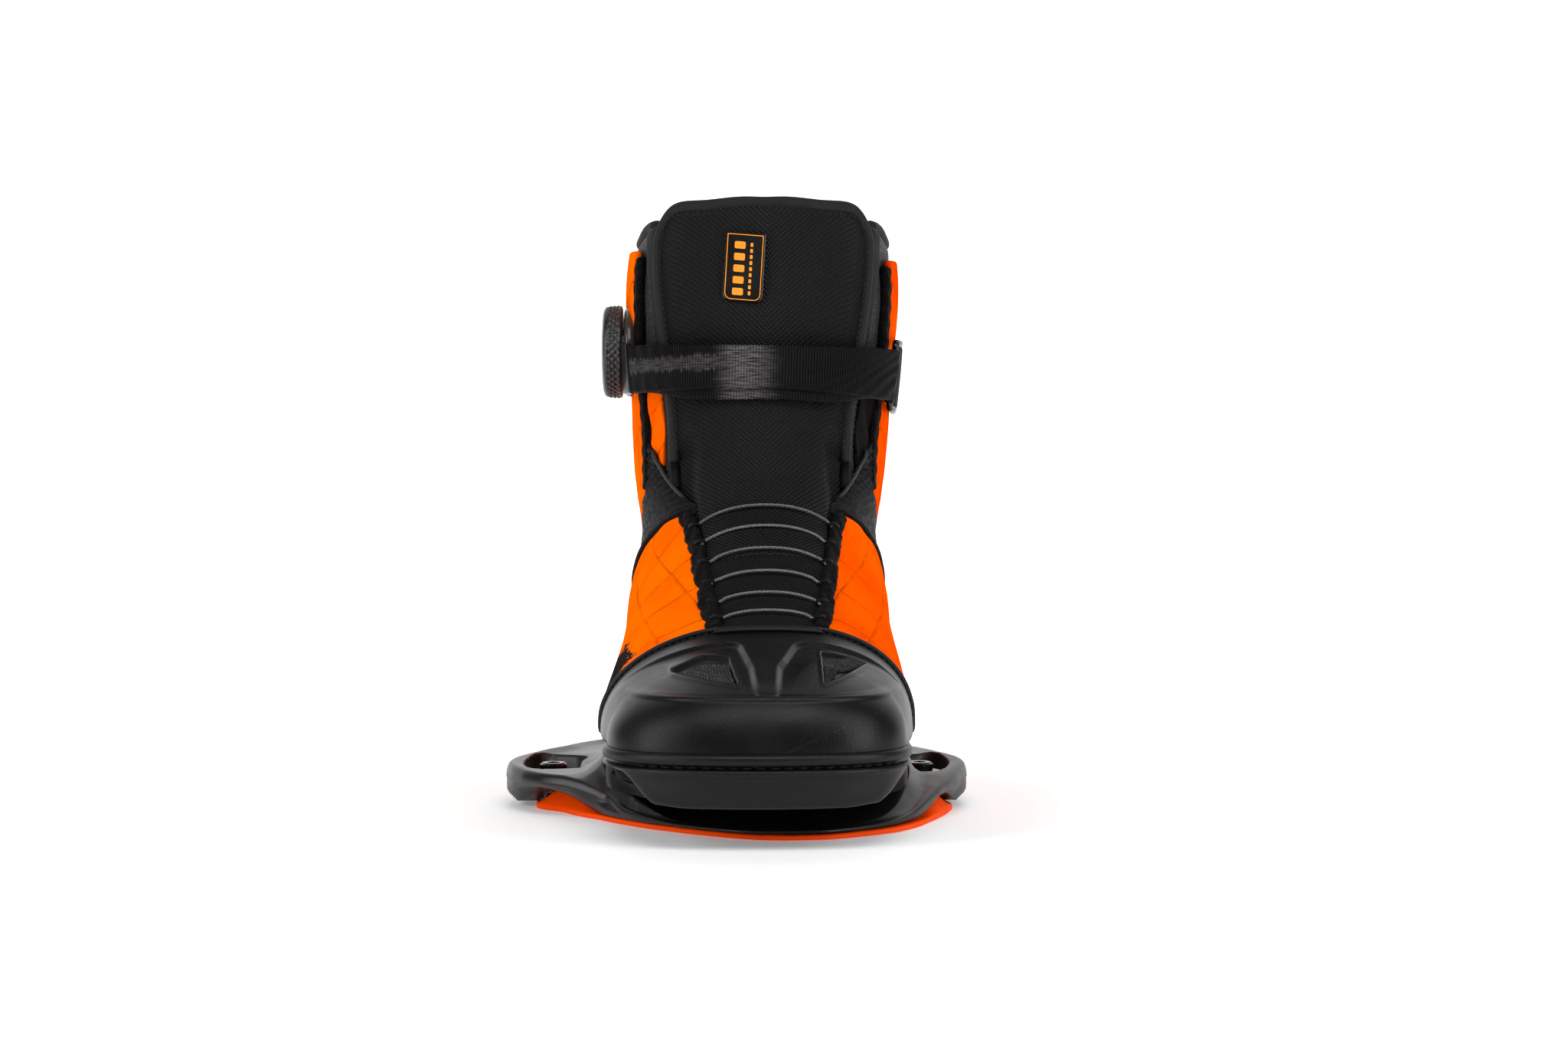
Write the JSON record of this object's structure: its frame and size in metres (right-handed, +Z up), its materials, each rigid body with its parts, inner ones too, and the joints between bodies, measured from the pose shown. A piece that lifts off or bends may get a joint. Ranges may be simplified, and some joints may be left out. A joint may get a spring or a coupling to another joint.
{
  "type": "wakeboard boot binding",
  "caption": "Right-foot wakeboard boot on a slotted plate base: flexing cuff, cord lacing, reel dial, ankle strap and ring buckle.",
  "frame": {"origin": "underside of the gasket, halfway between the two mounting screws", "axes": "+Z up off the board, toe toward -Y, medial side toward +X"},
  "size_m": [0.191, 0.3069, 0.2563],
  "materials": {
    "orange": "matte moulded synthetic with an embossed grid",
    "black": "matte black synthetic leather",
    "rubber": "matte moulded rubber",
    "plastic": "glass-filled nylon",
    "gloss": "glossy with an orange edge",
    "mesh": "open spacer mesh",
    "binding": "woven webbing and neoprene binding",
    "red": "soft orange-red gasket",
    "grey": "grey-brown moulded plastic",
    "lace": "silver-grey twisted cord",
    "steel": "stainless",
    "foam": "knit-faced foam"
  },
  "bodies": {
    "boot": {"outsole": "rubber", "midsole": "rubber", "toe_bumper": "rubber", "lasting_board": "foam", "insole": "foam", "toe_cap": "black", "lateral_toe_vent": "mesh", "medial_toe_vent": "mesh", "toe_spine": "black", "lateral_quarter": "orange", "medial_quarter": "orange", "lateral_gusset": "black", "medial_gusset": "black", "lateral_eyestay": "black", "medial_eyestay": "black", "heel_counter": "rubber", "heel_stabiliser": "plastic", "tongue_lower": "black", "liner_lower": "foam", "lace": "lace", "lateral_lace_loops": "binding", "medial_lace_loops": "binding", "lateral_lace_lead": "lace", "medial_lace_lead": "lace", "base_frame": "plastic", "base_gasket": "red"},
    "cuff": {"lateral_cuff_panel": "orange", "medial_cuff_panel": "orange", "rear_cuff_spine": "rubber", "liner_collar": "binding", "tongue_upper": "black", "tongue_badge": "gloss", "heel_pull_loop": "binding", "strap_inner": "black", "strap_outer": "black", "strap_end_tab": "plastic", "dial_housing": "grey", "buckle_plate": "plastic"},
    "spool": {"dial_spool": "grey"},
    "knob": {"dial_knob": "rubber", "dial_cap": "grey"},
    "buckle": {"buckle_ring": "steel"},
    "lateral_washer": {"lateral_mount_washer": "steel"},
    "medial_washer": {"medial_mount_washer": "steel"},
    "lateral_screw": {"lateral_mount_screw": "steel"},
    "medial_screw": {"medial_mount_screw": "steel"}
  },
  "joints": [
    {"name": "cuff_flex", "type": "hinge", "parent": "boot", "child": "cuff", "pos_m": [0, 0.095, 0.1], "axis": [1, 0, 0], "range_deg": [-3, 10], "stiffness_Nm_per_rad": 25},
    {"name": "spool_spin", "type": "hinge", "parent": "cuff", "child": "spool", "pos_m": [-0.05, 0.073, 0.187], "axis": [-1, 0, 0], "continuous": true},
    {"name": "knob_pull", "type": "slide", "parent": "spool", "child": "knob", "axis": [-1, 0, 0], "range_m": [0, 0.003]},
    {"name": "buckle_swing", "type": "hinge", "parent": "cuff", "child": "buckle", "pos_m": [0.0727, 0.0823, 0.177], "axis": [0, 0, 1], "range_deg": [0, 40]},
    {"name": "lateral_stance_turn", "type": "hinge", "parent": "boot", "child": "lateral_washer", "pos_m": [0, 0, 0.012], "axis": [0, 0, 1], "range_deg": [-10, 10]},
    {"name": "lateral_screw_turn", "type": "hinge", "parent": "lateral_washer", "child": "lateral_screw", "pos_m": [-0.0762, 0, 0.01], "axis": [0, 0, 1], "continuous": true},
    {"name": "medial_stance_turn", "type": "hinge", "parent": "boot", "child": "medial_washer", "pos_m": [0, 0, 0.012], "axis": [0, 0, 1], "range_deg": [-10, 10]},
    {"name": "medial_screw_turn", "type": "hinge", "parent": "medial_washer", "child": "medial_screw", "pos_m": [0.0762, 0, 0.01], "axis": [0, 0, 1], "continuous": true}
  ],
  "couplings": [
    {"joint": "lateral_stance_turn", "follows": "medial_stance_turn", "ratio": 1}
  ]
}
